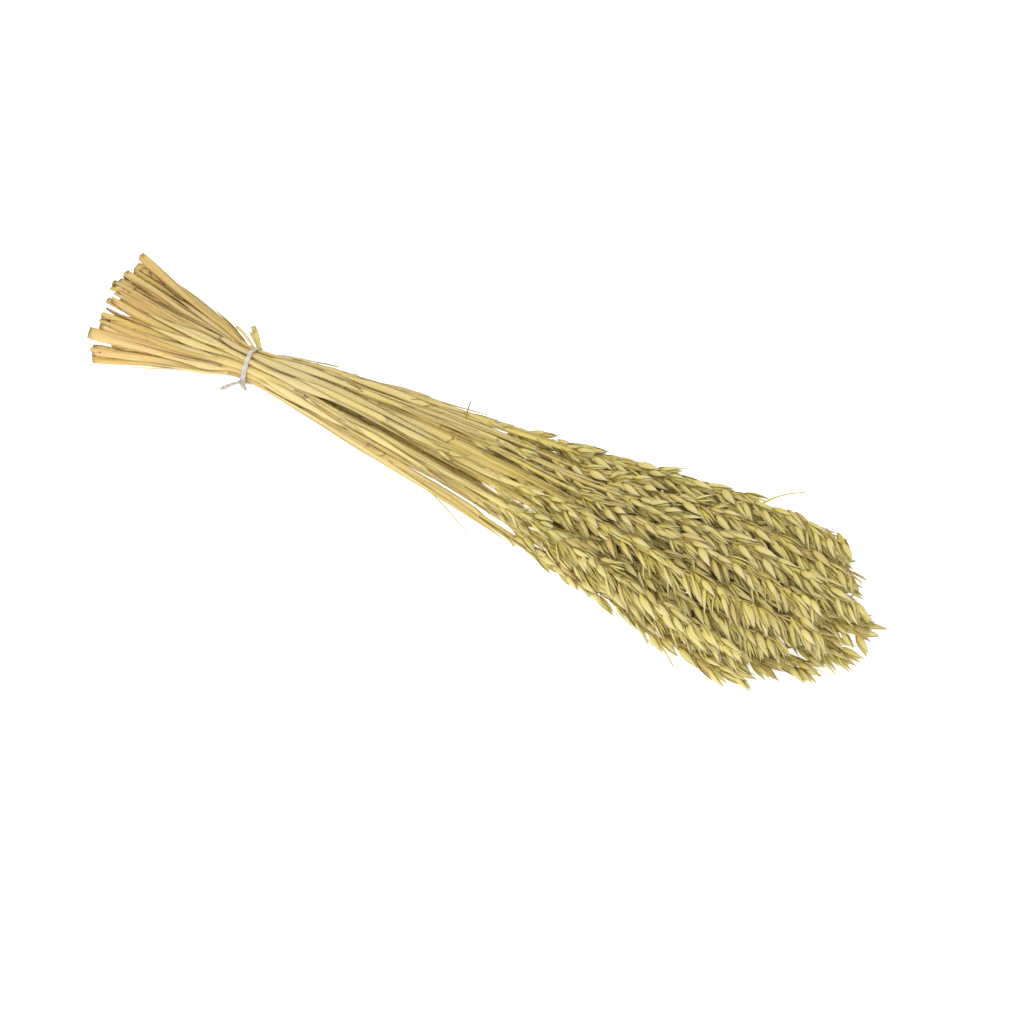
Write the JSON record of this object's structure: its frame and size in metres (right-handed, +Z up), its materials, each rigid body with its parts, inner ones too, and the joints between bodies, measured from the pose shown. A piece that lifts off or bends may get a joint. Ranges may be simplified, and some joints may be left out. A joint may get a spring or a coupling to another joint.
{
  "type": "dried oat bundle",
  "caption": "Bundle of dried oat stalks with long plaited seed heads, tied with a thin white band near the cut ends and lying down.",
  "frame": {"origin": "on the surface that the bundle lies on, under the middle of its length and width", "axes": "+X along the bundle from the cut ends to the heads, +Z up from the surface, +Y across it, away from the viewer of the picture"},
  "size_m": [0.6991, 0.1529, 0.0824],
  "materials": {
    "straw": "dull golden straw",
    "husk": "dull khaki green husks",
    "dry_leaf": "dull pale dry leaf",
    "tie_band": "matt white string"
  },
  "bodies": {
    "root": {"straw_01": "straw", "straw_02": "straw", "straw_03": "straw", "straw_04": "straw", "straw_05": "straw", "straw_06": "straw", "straw_07": "straw", "straw_08": "straw", "straw_09": "straw", "straw_10": "straw", "straw_11": "straw", "straw_12": "straw", "straw_13": "straw", "straw_14": "straw", "straw_15": "straw", "straw_16": "straw", "straw_17": "straw", "straw_18": "straw", "straw_19": "straw", "straw_20": "straw", "straw_21": "straw", "straw_22": "straw", "straw_23": "straw", "straw_24": "straw", "straw_25": "straw", "straw_26": "straw", "straw_27": "straw", "straw_28": "straw", "head_01": "husk", "head_02": "husk", "head_03": "husk", "head_04": "husk", "head_05": "husk", "head_06": "husk", "head_07": "husk", "head_08": "husk", "head_09": "husk", "head_10": "husk", "head_11": "husk", "head_12": "husk", "head_13": "husk", "head_14": "husk", "head_15": "husk", "head_16": "husk", "head_17": "husk", "head_18": "husk", "head_19": "husk", "head_20": "husk", "head_21": "husk", "head_22": "husk", "head_23": "husk", "head_24": "husk", "head_25": "husk", "head_26": "husk", "head_27": "husk", "head_28": "husk", "leaf_01": "dry_leaf", "leaf_02": "dry_leaf", "leaf_03": "dry_leaf", "tie": "tie_band"}
  },
  "joints": []
}
